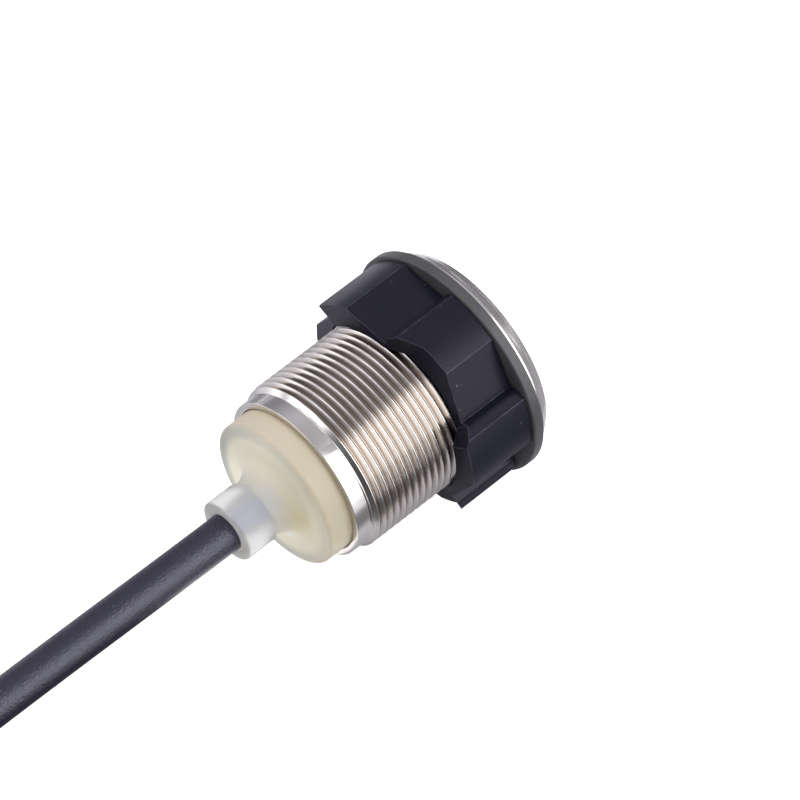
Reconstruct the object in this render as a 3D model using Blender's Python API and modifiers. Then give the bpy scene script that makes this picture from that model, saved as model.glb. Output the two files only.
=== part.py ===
"""Capacitive touch sensor for a 22 mm panel hole, with its moulded nut and its cable.

The sensor lies on its gasket. Its axis runs along +X to the touch face, and +Z is up.
Everything on the axis is modelled in the sensor's own frame: z = 0 at the metal rear rim,
+z towards the touch face. An empty lays that frame down along world +X.
"""
import math

import bmesh
import bpy
from mathutils import Vector

# Clearances
SEAT_GAP = 0.0002
BORE_CLEARANCE = 0.0001
SOLDER_GAP = 0.0001

# Housing, turned from stainless bar
THREAD_DIAMETER = 0.0220
THREAD_PITCH = 0.0010
THREAD_DEPTH_PER_PITCH = 0.61
UNDERCUT_LENGTH = 0.0008
BODY_LENGTH = 0.02453
BODY_WALL = 0.00147
RELIEF_LENGTH = 0.00194
RELIEF_DEPTH_PER_PITCH = 0.65
LEAD_CHAMFER_LENGTH = 0.00057
RIM_CHAMFER = 0.00012
FLANGE_WIDTH = 0.00322
FLANGE_THICKNESS = 0.00247
FLANGE_EDGE_HEIGHT = 0.00065
FLANGE_STEP_INSET = 0.00062
FLANGE_STEP_HEIGHT = 0.00147
FLANGE_FACE_INSET = 0.00142
LENS_RECESS_STEP = 0.0002
LENS_RECESS_DEPTH = 0.00155

# Gasket and nut
GASKET_PROUD = 0.00047
GASKET_THICKNESS = 0.00095
NUT_LOBES = 6
NUT_STEP_INSET = 0.00055
NUT_FLAT_INSET = 0.00192
NUT_TIP_ROUND = 0.00040
NUT_HEIGHT = 0.00920
NUT_PADS = 3
NUT_RECESS_DEPTH = 0.0022
NUT_RECESS_TILT = math.radians(12)
NUT_TURN = math.radians(117.9)
NUT_CHAMFER = 0.0004
NUT_EDGE_ROUND = 0.00014

# Rear plug, one moulding with its sleeve
PLUG_LENGTH = 0.0040
PLUG_HEAD_HEIGHT = 0.00286
PLUG_EDGE_RADIUS = 0.0009
NECK_WALL = 0.00125
NECK_FLARE_RADIUS = 0.0030
NECK_LENGTH = 0.0002
SLEEVE_WALL = 0.00156
SLEEVE_LENGTH = 0.0040
SLEEVE_EDGE_RADIUS = 0.00025

# Cable
CABLE_DIAMETER = 0.0047
CORE_DIAMETER = 0.0011
CORE_OVERLAP = 0.0012
CORE_WEB = 0.00015
CORES = 4
CORE_COLOURS = [
    (0.16, 0.07, 0.03),
    (0.02, 0.07, 0.30),
    (0.02, 0.02, 0.02),
    (0.75, 0.75, 0.72),
]

# Front end: lens, seal, light guide and electrode
LENS_PROUD = 0.0002
LENS_RIM_THICKNESS = 0.00115
LENS_SPIGOT_LENGTH = 0.00105
LENS_EDGE_BEVEL = 0.00025
SEAL_WIDTH = 0.0010
ELECTRODE_MARGIN = 0.0006
ELECTRODE_THICKNESS = 0.00025
GUIDE_WIDTH = 0.0019
GUIDE_HEIGHT = 0.00095
SPRING_RADIUS = 0.0014
SPRING_WIRE = 0.00030
SPRING_TURNS = 3

# Boards and what they carry
BOARD_THICKNESS = 0.0010
LED_SIZE = (0.0016, 0.0008, 0.0006)
LED_INSET = 0.0012
LED_COUNT = 4
CARRIER_RING_WALL = 0.0013
CARRIER_RING_HEIGHT = 0.0015
RAIL_STOP = 0.0010
RAIL_WIDTH = 0.0032
RAIL_DEPTH = 0.0019
RAIL_WALL_GAP = 0.0004
SLOT_DEPTH = 0.0008
BOARD_TO_RESIN = 0.00065
HEADER_LENGTH = 0.0064
HEADER_SECTION = 0.0020
HEADER_PINS = 5
PIN_WIDTH = 0.0005
PIN_PITCH = 0.00127
RESIN_THICKNESS = 0.0022

# Hank: turns with straight runs and round ends, one above the other
HANK_RUN = 0.0377
HANK_FOLD = 3.1 * CABLE_DIAMETER
HANK_TURNS = 3
TURN_GAP = 0.00005
HANK_NEAR_X = -0.0740
HANK_Y = 0.0032
CABLE_DRIFT = 0.0005
CABLE_RISE = 0.0004
TIE_THICKNESS = 0.0008
TIE_WIDTH = 0.0040
TIE_FROM_FOLD = 0.0105
LEAD_START = 0.0112
LEAD_LENGTH = 0.0170
LEAD_SPREAD = 0.0016

# How finely round forms are faceted
ROUND_STEPS = 48
FINE_STEPS = 40
SMALL_STEPS = 12

# Places on the sensor's axis that follow from the sizes above
THREAD_RADIUS = THREAD_DIAMETER / 2
THREAD_ROOT_RADIUS = THREAD_RADIUS - THREAD_DEPTH_PER_PITCH * THREAD_PITCH
BODY_BORE_RADIUS = THREAD_RADIUS - BODY_WALL
RELIEF_RADIUS = THREAD_RADIUS - RELIEF_DEPTH_PER_PITCH * THREAD_PITCH
FLANGE_RADIUS = THREAD_RADIUS + FLANGE_WIDTH
FLANGE_STEP_RADIUS = FLANGE_RADIUS - FLANGE_STEP_INSET
FLANGE_FACE_RADIUS = FLANGE_RADIUS - FLANGE_FACE_INSET
FLANGE_FRONT = BODY_LENGTH + FLANGE_THICKNESS
LENS_RECESS_RADIUS = THREAD_RADIUS + LENS_RECESS_STEP
RECESS_FLOOR = FLANGE_FRONT - LENS_RECESS_DEPTH
LENS_FRONT = FLANGE_FRONT + LENS_PROUD
LENS_RIM_REAR = LENS_FRONT - LENS_RIM_THICKNESS
LENS_REAR = LENS_RIM_REAR - LENS_SPIGOT_LENGTH
LENS_RADIUS = LENS_RECESS_RADIUS - BORE_CLEARANCE
INNER_RADIUS = BODY_BORE_RADIUS - 2 * BORE_CLEARANCE
GASKET_RADIUS = FLANGE_RADIUS + GASKET_PROUD
GASKET_FRONT = BODY_LENGTH - BORE_CLEARANCE
GASKET_REAR = GASKET_FRONT - GASKET_THICKNESS
NUT_FRONT = GASKET_REAR - BORE_CLEARANCE
NUT_REAR = NUT_FRONT - NUT_HEIGHT
NUT_BORE_RADIUS = THREAD_RADIUS + SEAT_GAP
NUT_CORNER_RADIUS = FLANGE_RADIUS
NUT_STEP_RADIUS = NUT_CORNER_RADIUS - NUT_STEP_INSET
NUT_FLAT_APOTHEM = NUT_CORNER_RADIUS - NUT_FLAT_INSET
PLUG_RADIUS = BODY_BORE_RADIUS - BORE_CLEARANCE
PLUG_REAR = -PLUG_HEAD_HEIGHT
NECK_RADIUS = CABLE_DIAMETER / 2 + NECK_WALL
SLEEVE_RADIUS = CABLE_DIAMETER / 2 + SLEEVE_WALL
SLEEVE_FRONT = PLUG_REAR - NECK_FLARE_RADIUS - NECK_LENGTH
SLEEVE_REAR = SLEEVE_FRONT - SLEEVE_LENGTH
CABLE_BORE_RADIUS = CABLE_DIAMETER / 2 + SEAT_GAP
GUIDE_FRONT = LENS_REAR - SEAT_GAP
GUIDE_REAR = GUIDE_FRONT - GUIDE_HEIGHT
ELECTRODE_RADIUS = INNER_RADIUS - GUIDE_WIDTH - ELECTRODE_MARGIN
LED_CIRCLE_RADIUS = INNER_RADIUS - LED_INSET
BOARD_FRONT = GUIDE_REAR - SEAT_GAP - LED_SIZE[2] - SOLDER_GAP
BOARD_REAR = BOARD_FRONT - BOARD_THICKNESS
CARRIER_FRONT = BOARD_REAR - SEAT_GAP
CARRIER_REAR = CARRIER_FRONT - CARRIER_RING_HEIGHT
RAIL_OUTER = INNER_RADIUS - RAIL_WALL_GAP
RAIL_INNER = RAIL_OUTER - RAIL_DEPTH
RESIN_REAR = PLUG_LENGTH + SEAT_GAP
RESIN_FRONT = RESIN_REAR + RESIN_THICKNESS
CONTROL_FRONT = CARRIER_REAR - SEAT_GAP
CONTROL_REAR = RESIN_FRONT + BOARD_TO_RESIN
CONTROL_LENGTH = CONTROL_FRONT - CONTROL_REAR
RAIL_REAR = CONTROL_REAR + RAIL_STOP
CONTROL_WIDTH = 2 * (RAIL_INNER + SLOT_DEPTH - SEAT_GAP)

# Where the sensor's axis lies in the world
AXIS_HEIGHT = GASKET_RADIUS
REAR_RIM_X = -(SLEEVE_REAR + LENS_FRONT) / 2
HANK_FLOOR = TIE_THICKNESS + SEAT_GAP
HANK_HEIGHT = HANK_TURNS * (CABLE_DIAMETER + TURN_GAP)
HANK_OUTER_RADIUS = HANK_FOLD + CABLE_DIAMETER / 2
HANK_INNER_RADIUS = HANK_FOLD - CABLE_DIAMETER / 2
HANK_FAR_X = HANK_NEAR_X - HANK_RUN
TIE_X = HANK_FAR_X + TIE_FROM_FOLD


def clear_scene():
    for item in list(bpy.data.objects):
        bpy.data.objects.remove(item, do_unlink=True)


clear_scene()
parts = bpy.data.collections.new("capacitive_touch_sensor")
cutters = bpy.data.collections.new("cutters")
bpy.context.scene.collection.children.link(parts)
bpy.context.scene.collection.children.link(cutters)

axis_frame = bpy.data.objects.new("sensor_axis", None)
axis_frame.location = (REAR_RIM_X, 0.0, AXIS_HEIGHT)
axis_frame.rotation_euler = (0.0, math.pi / 2, 0.0)
axis_frame.empty_display_size = THREAD_RADIUS
parts.objects.link(axis_frame)


# Helpers: materials, turned, boxed, extruded and drawn forms
def finish(item, colour, roughness, metallic=0.0):
    material = bpy.data.materials.new(item.name)
    material.use_nodes = True
    shader = material.node_tree.nodes["Principled BSDF"]
    shader.inputs["Base Color"].default_value = (*colour, 1.0)
    shader.inputs["Roughness"].default_value = roughness
    shader.inputs["Metallic"].default_value = metallic
    item.data.materials.append(material)


def add_object(name, data, on_axis=True, collection=parts):
    item = bpy.data.objects.new(name, data)
    if on_axis:
        item.parent = axis_frame
    if collection is cutters:
        item.hide_render = True
        item.display_type = "WIRE"
    collection.objects.link(item)
    return item


def mesh_from(name, bm):
    mesh = bpy.data.meshes.new(name)
    bm.to_mesh(mesh)
    bm.free()
    return mesh


def arc(centre, radius, start, end, count):
    """Points on an arc in the profile plane, from one angle to another, in degrees."""
    turns = [math.radians(start + (end - start) * k / count) for k in range(count + 1)]
    return [(centre[0] + radius * math.cos(t), centre[1] + radius * math.sin(t)) for t in turns]


def on_circle(radius, degrees):
    turn = math.radians(degrees)
    return radius * math.cos(turn), radius * math.sin(turn)


def turned(name, profile, steps=ROUND_STEPS, closed=True, collection=parts):
    """A profile of (radius, z) points turned about the axis, its outer side running from front to rear."""
    bm = bmesh.new()
    points = [bm.verts.new((radius, 0.0, z)) for radius, z in profile]
    for first, second in zip(points, points[1:]):
        bm.edges.new((first, second))
    if closed:
        bm.edges.new((points[-1], points[0]))
    item = add_object(name, mesh_from(name, bm), collection=collection)
    screw = item.modifiers.new("turn", "SCREW")
    screw.steps = steps
    screw.render_steps = steps
    screw.use_merge_vertices = True
    screw.merge_threshold = 0.000001
    screw.use_smooth_shade = True
    return item


def ring(name, inner, outer, rear, front, steps=FINE_STEPS):
    return turned(name, [(inner, front), (outer, front), (outer, rear), (inner, rear)], steps)


def disc(name, radius, rear, front, steps=FINE_STEPS, collection=parts):
    profile = [(0.0, front), (radius, front), (radius, rear), (0.0, rear)]
    return turned(name, profile, steps, closed=False, collection=collection)


def box(name, size, centre, on_axis=True, collection=parts):
    bm = bmesh.new()
    bmesh.ops.create_cube(bm, size=1.0)
    bmesh.ops.scale(bm, vec=size, verts=bm.verts)
    item = add_object(name, mesh_from(name, bm), on_axis, collection)
    item.location = centre
    return item


def extruded(name, outlines, height, on_axis=True, collection=parts):
    """A flat outline, with its holes, made into a plate that stands on z = 0."""
    curve = bpy.data.curves.new(name, "CURVE")
    curve.dimensions = "2D"
    curve.fill_mode = "BOTH"
    curve.extrude = height / 2
    for outline in outlines:
        spline = curve.splines.new("POLY")
        spline.points.add(len(outline) - 1)
        for point, (x, y) in zip(spline.points, outline):
            point.co = (x, y, 0.0, 1.0)
        spline.use_cyclic_u = True
    item = add_object(name, curve, on_axis, collection)
    item.location.z = height / 2
    return as_mesh(item)


def as_mesh(item):
    """The evaluated curve as a mesh object of the same name, with its caps welded."""
    bpy.context.view_layer.update()
    evaluated = item.evaluated_get(bpy.context.evaluated_depsgraph_get())
    mesh = bpy.data.meshes.new_from_object(evaluated)
    bm = bmesh.new()
    bm.from_mesh(mesh)
    bmesh.ops.remove_doubles(bm, verts=bm.verts, dist=0.000001)
    bmesh.ops.recalc_face_normals(bm, faces=bm.faces)
    bm.to_mesh(mesh)
    bm.free()
    name = item.name
    collection = item.users_collection[0]
    place = item.matrix_local.copy()
    on_axis = item.parent is axis_frame
    bpy.data.objects.remove(item, do_unlink=True)
    solid = add_object(name, mesh, on_axis, collection)
    solid.matrix_local = place
    return solid


def drawn(name, points, diameter, sides, on_axis=True):
    """A round wire along a polyline, with filled ends."""
    curve = bpy.data.curves.new(name, "CURVE")
    curve.dimensions = "3D"
    curve.bevel_depth = diameter / 2
    curve.bevel_resolution = sides
    curve.use_fill_caps = True
    spline = curve.splines.new("POLY")
    spline.points.add(len(points) - 1)
    for point, place in zip(spline.points, points):
        point.co = (*place, 1.0)
    return add_object(name, curve, on_axis)


def smooth_path(knots, count):
    """Points at even parameters along a smooth curve through the knots."""
    places = [Vector(k) for k in knots]
    places = [2 * places[0] - places[1], *places, 2 * places[-1] - places[-2]]
    spans = len(places) - 3
    path = []
    for k in range(count):
        along = spans * k / (count - 1)
        span = min(int(along), spans - 1)
        t = along - span
        before, start, end, after = places[span : span + 4]
        path.append(
            0.5
            * (
                2 * start
                + (end - before) * t
                + (2 * before - 5 * start + 4 * end - after) * t**2
                + (3 * start - before - 3 * end + after) * t**3
            )
        )
    return path


def boolean(item, cutter, operation):
    step = item.modifiers.new(cutter.name, "BOOLEAN")
    step.operation = operation
    step.object = cutter
    step.solver = "EXACT"


def rounded(item, width, segments=2, angle=30):
    step = item.modifiers.new("edges", "BEVEL")
    step.width = width
    step.segments = segments
    step.limit_method = "ANGLE"
    step.angle_limit = math.radians(angle)
    step.harden_normals = False


def shade(item, angle=35):
    item.data.shade_smooth()
    item.data.set_sharp_from_angle(angle=math.radians(angle))


# Housing: threaded body, rear relief and bezel flange in one piece
def thread_radius(on_crest, z):
    """Crest or root of the thread, run out over the lead chamfer and into the undercut."""
    cone = (z - RELIEF_LENGTH) / LEAD_CHAMFER_LENGTH
    chamfered = RELIEF_RADIUS + (THREAD_RADIUS - RELIEF_RADIUS) * cone
    if not on_crest or z > BODY_LENGTH - UNDERCUT_LENGTH:
        return min(THREAD_ROOT_RADIUS, chamfered)
    return min(THREAD_RADIUS, chamfered)


def thread_band(bm):
    """A right-hand V thread whose crest and root rows climb one pitch in each turn."""
    turns = math.ceil((BODY_LENGTH - RELIEF_LENGTH) / THREAD_PITCH) + 1
    last = 2 * turns
    rows = []
    for row in range(last + 1):
        points = []
        for k in range(ROUND_STEPS):
            climb = row / 2 - 1 + k / ROUND_STEPS
            z = min(max(RELIEF_LENGTH + climb * THREAD_PITCH, RELIEF_LENGTH), BODY_LENGTH)
            radius = thread_radius(row % 2 == 0, z)
            turn = 2 * math.pi * k / ROUND_STEPS
            points.append(bm.verts.new((radius * math.cos(turn), radius * math.sin(turn), z)))
        rows.append(points)
    for row in range(last):
        above = rows[min(row + 2, last)][0]
        next_above = rows[min(row + 3, last)][0]
        first = rows[row] + [above]
        second = rows[row + 1] + [next_above]
        for k in range(ROUND_STEPS):
            corners = [first[k], first[k + 1], second[k + 1], second[k]]
            bm.faces.new(list(dict.fromkeys(corners)))


def turned_band(bm, profile):
    """A profile of (radius, z) points turned about the axis into rings of faces."""
    rings = []
    for radius, z in profile:
        turns = [2 * math.pi * k / ROUND_STEPS for k in range(ROUND_STEPS)]
        points = [(radius * math.cos(turn), radius * math.sin(turn), z) for turn in turns]
        rings.append([bm.verts.new(point) for point in points])
    for first, second in zip(rings, rings[1:]):
        for k in range(ROUND_STEPS):
            ahead = (k + 1) % ROUND_STEPS
            bm.faces.new([first[k], first[ahead], second[ahead], second[k]])


def make_housing():
    profile = [
        (THREAD_ROOT_RADIUS, BODY_LENGTH),
        (FLANGE_RADIUS - RIM_CHAMFER, BODY_LENGTH),
        (FLANGE_RADIUS, BODY_LENGTH + RIM_CHAMFER),
        (FLANGE_RADIUS, BODY_LENGTH + FLANGE_EDGE_HEIGHT),
        (FLANGE_STEP_RADIUS, BODY_LENGTH + FLANGE_STEP_HEIGHT),
        (FLANGE_FACE_RADIUS, FLANGE_FRONT),
        (LENS_RECESS_RADIUS + RIM_CHAMFER, FLANGE_FRONT),
        (LENS_RECESS_RADIUS, FLANGE_FRONT - RIM_CHAMFER),
        (LENS_RECESS_RADIUS, RECESS_FLOOR),
        (BODY_BORE_RADIUS, RECESS_FLOOR),
        (BODY_BORE_RADIUS, RIM_CHAMFER),
        (BODY_BORE_RADIUS + RIM_CHAMFER, 0.0),
        (RELIEF_RADIUS - RIM_CHAMFER, 0.0),
        (RELIEF_RADIUS, RIM_CHAMFER),
        (RELIEF_RADIUS, RELIEF_LENGTH),
    ]
    bm = bmesh.new()
    thread_band(bm)
    turned_band(bm, profile)
    bmesh.ops.remove_doubles(bm, verts=bm.verts, dist=0.000001)
    bmesh.ops.dissolve_degenerate(bm, edges=bm.edges, dist=0.000001)
    bmesh.ops.recalc_face_normals(bm, faces=bm.faces)
    housing = add_object("housing", mesh_from("housing", bm))
    shade(housing)
    finish(housing, (0.62, 0.60, 0.57), 0.28, 1.0)


# Gasket: soft ring with rounded rims
def make_gasket():
    inner = THREAD_RADIUS + SEAT_GAP
    corner = GASKET_THICKNESS / 4
    outer_round = GASKET_RADIUS - corner
    profile = [(inner, GASKET_FRONT)]
    profile += arc((outer_round, GASKET_FRONT - corner), corner, 90, 0, 2)
    profile += arc((outer_round, GASKET_REAR + corner), corner, 0, -90, 2)
    profile += [(inner, GASKET_REAR)]
    gasket = turned("panel_gasket", profile)
    finish(gasket, (0.20, 0.20, 0.19), 0.7)


# Nut: six saw-tooth lobes on the outside, three finger recesses in the rear face
def nut_outline():
    """One lobe is an arc, a falling flat and a step up to the next arc, six times round."""
    lobe = 360 / NUT_LOBES
    arc_start, corner, step_foot, step_middle, step_top = 6.0, 33.4, 60.5, 61.6, 63.2
    middle_radius = NUT_STEP_RADIUS - NUT_TIP_ROUND
    flat_normal = corner + 30.0
    foot_radius = NUT_FLAT_APOTHEM / math.cos(math.radians(step_foot - flat_normal))
    points = []
    for k in range(NUT_LOBES):
        turn = k * lobe
        points += arc((0.0, 0.0), NUT_CORNER_RADIUS, turn + arc_start, turn + corner, 5)
        points += [
            on_circle(foot_radius, turn + step_foot),
            on_circle(middle_radius, turn + step_middle),
            on_circle(NUT_STEP_RADIUS, turn + step_top),
        ]
    return points


def recess_cutter(number):
    """A wedge with sloping flanks that takes the rear face down between two raised pads."""
    deep_start, deep_end, ramp_start, ramp_end = 77.0, 120.0, 61.0, 130.0
    middle_radius = (NUT_BORE_RADIUS + NUT_CORNER_RADIUS) / 2
    centre = (deep_start + deep_end) / 2

    def across(angle):
        return math.tan(math.radians(angle - centre)) * middle_radius

    margin = NUT_RECESS_DEPTH
    outline = [
        (across(deep_start), NUT_RECESS_DEPTH),
        (across(ramp_start) - (across(deep_start) - across(ramp_start)), -margin),
        (across(ramp_end) + (across(ramp_end) - across(deep_end)), -margin),
        (across(deep_end), NUT_RECESS_DEPTH),
    ]
    wedge = extruded(f"recess_cutter_{number}", [outline], NUT_CORNER_RADIUS, collection=cutters)
    bm = bmesh.new()
    bm.from_mesh(wedge.data)
    # The outline lies flat in x and y: stand it up so that it runs out along the radius.
    for point in bm.verts:
        sideways, height, out = point.co.x, point.co.y, point.co.z + NUT_CORNER_RADIUS / 2
        lift = (out + middle_radius / 2 - NUT_CORNER_RADIUS) * math.tan(NUT_RECESS_TILT)
        point.co = (out + middle_radius / 2, sideways, height + lift)
    bmesh.ops.recalc_face_normals(bm, faces=bm.faces)
    bm.to_mesh(wedge.data)
    bm.free()
    wedge.location = (0.0, 0.0, NUT_REAR)
    wedge.rotation_euler.z = NUT_TURN + math.radians(centre + number * 360 / NUT_PADS)
    return wedge


def make_nut():
    nut = extruded("panel_nut", [nut_outline()], NUT_HEIGHT)
    nut.location = (0.0, 0.0, NUT_REAR + NUT_HEIGHT / 2)
    nut.rotation_euler.z = NUT_TURN
    bore_profile = [
        (0.0, NUT_FRONT + NUT_CHAMFER),
        (NUT_BORE_RADIUS + 2 * NUT_CHAMFER, NUT_FRONT + NUT_CHAMFER),
        (NUT_BORE_RADIUS, NUT_FRONT - NUT_CHAMFER),
        (NUT_BORE_RADIUS, NUT_REAR + NUT_CHAMFER),
        (NUT_BORE_RADIUS + 2 * NUT_CHAMFER, NUT_REAR - NUT_CHAMFER),
        (0.0, NUT_REAR - NUT_CHAMFER),
    ]
    bore = turned("nut_bore_cutter", bore_profile, closed=False, collection=cutters)
    for number in range(NUT_PADS):
        boolean(nut, recess_cutter(number), "DIFFERENCE")
    rounded(nut, NUT_EDGE_ROUND)
    boolean(nut, bore, "DIFFERENCE")
    shade(nut)
    finish(nut, (0.012, 0.013, 0.020), 0.42)


# Rear plug: head, flared neck and sleeve in one soft moulding
def make_rear_plug():
    head_edge = PLUG_RADIUS - PLUG_EDGE_RADIUS
    profile = [(CABLE_BORE_RADIUS, PLUG_LENGTH), (PLUG_RADIUS, PLUG_LENGTH)]
    profile += arc((head_edge, PLUG_REAR + PLUG_EDGE_RADIUS), PLUG_EDGE_RADIUS, 0, -90, 4)
    flare = (NECK_RADIUS + NECK_FLARE_RADIUS, PLUG_REAR - NECK_FLARE_RADIUS)
    profile += arc(flare, NECK_FLARE_RADIUS, 90, 180, 6)
    sleeve_edge = SLEEVE_RADIUS - SLEEVE_EDGE_RADIUS
    profile += [(NECK_RADIUS, SLEEVE_FRONT), (SLEEVE_RADIUS, SLEEVE_FRONT)]
    profile += arc((sleeve_edge, SLEEVE_REAR + SLEEVE_EDGE_RADIUS), SLEEVE_EDGE_RADIUS, 0, -90, 3)
    profile += [(CABLE_BORE_RADIUS, SLEEVE_REAR)]
    plug = turned("rear_plug", profile, FINE_STEPS)
    finish(plug, (0.80, 0.76, 0.60), 0.35)


# Front end
def make_front():
    spigot = BODY_BORE_RADIUS - SEAT_GAP
    profile = [
        (0.0, LENS_FRONT),
        (LENS_RADIUS - LENS_EDGE_BEVEL, LENS_FRONT),
        (LENS_RADIUS, LENS_FRONT - LENS_EDGE_BEVEL),
        (LENS_RADIUS, LENS_RIM_REAR),
        (spigot, LENS_RIM_REAR),
        (spigot, LENS_REAR),
        (0.0, LENS_REAR),
    ]
    lens = turned("touch_lens", profile, closed=False)
    finish(lens, (0.78, 0.79, 0.80), 0.3)

    seal_middle = (spigot + LENS_RADIUS) / 2
    seal_rear = RECESS_FLOOR + BORE_CLEARANCE
    seal_front = LENS_RIM_REAR - BORE_CLEARANCE
    inner, outer = seal_middle - SEAL_WIDTH / 2, seal_middle + SEAL_WIDTH / 2
    seal = ring("lens_seal", inner, outer, seal_rear, seal_front)
    finish(seal, (0.03, 0.03, 0.03), 0.8)

    guide = ring("light_guide", INNER_RADIUS - GUIDE_WIDTH, INNER_RADIUS, GUIDE_REAR, GUIDE_FRONT)
    finish(guide, (0.85, 0.88, 0.90), 0.25)

    electrode_rear = GUIDE_FRONT - ELECTRODE_THICKNESS
    electrode = disc("electrode_plate", ELECTRODE_RADIUS, electrode_rear, GUIDE_FRONT)
    finish(electrode, (0.75, 0.40, 0.22), 0.3, 1.0)

    spring_rear = BOARD_FRONT + SOLDER_GAP + SPRING_WIRE / 2
    spring_front = electrode_rear - SEAT_GAP - SPRING_WIRE / 2
    points = []
    count = SPRING_TURNS * 10
    for k in range(count + 1):
        turn = 2 * math.pi * SPRING_TURNS * k / count
        height = spring_rear + (spring_front - spring_rear) * k / count
        points.append((SPRING_RADIUS * math.cos(turn), SPRING_RADIUS * math.sin(turn), height))
    spring = drawn("contact_spring", points, SPRING_WIRE, 1)
    finish(spring, (0.85, 0.80, 0.65), 0.25, 1.0)


# Round sensor board with its indicator lights
def make_sensor_board():
    board = disc("sensor_board", INNER_RADIUS, BOARD_REAR, BOARD_FRONT)
    finish(board, (0.03, 0.16, 0.07), 0.45)
    for number in range(LED_COUNT):
        turn = 2 * math.pi * (number + 0.5) / LED_COUNT
        height = BOARD_FRONT + SOLDER_GAP + LED_SIZE[2] / 2
        place = (LED_CIRCLE_RADIUS * math.cos(turn), LED_CIRCLE_RADIUS * math.sin(turn), height)
        led = box(f"led_{number + 1}", LED_SIZE, place)
        led.rotation_euler.z = turn + math.pi / 2
        finish(led, (0.90, 0.90, 0.80), 0.3)


# Moulded carrier: a ring behind the sensor board and two slotted rails
def make_carrier():
    carrier = ring(
        "board_carrier", INNER_RADIUS - CARRIER_RING_WALL, INNER_RADIUS, CARRIER_REAR, CARRIER_FRONT
    )
    rail_front = CARRIER_REAR + CARRIER_RING_HEIGHT / 2
    rail_length = rail_front - RAIL_REAR
    rail_middle = (rail_front + RAIL_REAR) / 2
    for number, side in enumerate((1, -1)):
        place = (side * (RAIL_OUTER + RAIL_INNER) / 2, 0.0, rail_middle)
        size = (RAIL_DEPTH, RAIL_WIDTH, rail_length)
        rail = box(f"rail_{number}", size, place, collection=cutters)
        boolean(carrier, rail, "UNION")
    slot_width = 2 * (RAIL_INNER + SLOT_DEPTH)
    slot_length = 2 * (CARRIER_REAR - RAIL_REAR)
    slot_size = (slot_width, BOARD_THICKNESS + 2 * SEAT_GAP, slot_length)
    slot_place = (0.0, 0.0, RAIL_REAR)
    slot = box("slot_cutter", slot_size, slot_place, collection=cutters)
    boolean(carrier, slot, "DIFFERENCE")
    finish(carrier, (0.05, 0.05, 0.06), 0.5)


# Control board in the rails, with its components on both faces
def make_control_board():
    size = (CONTROL_WIDTH, BOARD_THICKNESS, CONTROL_LENGTH)
    middle = (CONTROL_FRONT + CONTROL_REAR) / 2
    board = box("control_board", size, (0.0, 0.0, middle))
    finish(board, (0.03, 0.16, 0.07), 0.45)

    # Name, (across, thickness, along), place across, share of the length from the rear, face, colour
    chips = [
        ("touch_controller", (0.0050, 0.0015, 0.0044), -0.0022, 0.48, 1, (0.02, 0.02, 0.02)),
        ("voltage_regulator", (0.0045, 0.0015, 0.0026), 0.0030, 0.37, 1, (0.02, 0.02, 0.02)),
        ("output_transistor", (0.0045, 0.0015, 0.0026), -0.0024, 0.38, -1, (0.02, 0.02, 0.02)),
        ("protection_diode", (0.0043, 0.0022, 0.0026), 0.0026, 0.38, -1, (0.03, 0.03, 0.03)),
        ("capacitor_1", (0.0032, 0.0016, 0.0016), -0.0024, 0.67, -1, (0.45, 0.32, 0.20)),
        ("capacitor_2", (0.0032, 0.0016, 0.0016), 0.0026, 0.67, -1, (0.45, 0.32, 0.20)),
    ]
    for name, size, across, along, face, colour in chips:
        out = face * (BOARD_THICKNESS / 2 + SOLDER_GAP + size[1] / 2)
        chip = box(name, size, (across, out, CONTROL_REAR + along * CONTROL_LENGTH))
        finish(chip, colour, 0.5)


# Pin header that joins the two boards
def make_header():
    out = BOARD_THICKNESS / 2 + SOLDER_GAP + HEADER_SECTION / 2
    size = (HEADER_LENGTH, HEADER_SECTION, HEADER_SECTION)
    middle = CONTROL_FRONT - HEADER_SECTION / 2
    header = box("board_header", size, (0.0, out, middle))
    pin_front = BOARD_REAR - SOLDER_GAP
    pin_length = pin_front - middle
    for number in range(HEADER_PINS):
        across = (number - (HEADER_PINS - 1) / 2) * PIN_PITCH
        place = (across, out, middle + pin_length / 2)
        pin = box(f"pin_{number}", (PIN_WIDTH, PIN_WIDTH, pin_length), place, collection=cutters)
        boolean(header, pin, "UNION")
    finish(header, (0.03, 0.03, 0.03), 0.5)


# Resin behind the plug, and the four cores that run through it
def core_place(number, radius):
    return on_circle(radius, 360 * (number + 0.5) / CORES)


def make_resin_and_cores():
    spread = (CORE_DIAMETER + 2 * SEAT_GAP + CORE_WEB) / math.sqrt(2)
    resin = disc("resin_seal", INNER_RADIUS, RESIN_REAR, RESIN_FRONT)
    finish(resin, (0.80, 0.74, 0.52), 0.4)
    core_rear = RESIN_REAR - 2 * SEAT_GAP
    core_front = CONTROL_REAR + CORE_OVERLAP
    board_row = BOARD_THICKNESS / 2 + SOLDER_GAP + CORE_DIAMETER / 2
    for number in range(CORES):
        x, y = core_place(number, spread)
        side = 1 if y > 0 else -1
        hole_size = CORE_DIAMETER / 2 + SEAT_GAP
        hole = disc(f"core_hole_{number}", hole_size, 0.0, core_front, SMALL_STEPS, cutters)
        hole.location = (x, y, 0.0)
        boolean(resin, hole, "DIFFERENCE")
        knots = [
            (x, y, core_rear),
            (x, y, RESIN_FRONT + SEAT_GAP),
            (x, side * board_row, CONTROL_REAR),
            (x, side * board_row, core_front),
        ]
        core = drawn(f"conductor_{number + 1}", smooth_path(knots, 10), CORE_DIAMETER, 2)
        finish(core, CORE_COLOURS[number], 0.45)


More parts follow.
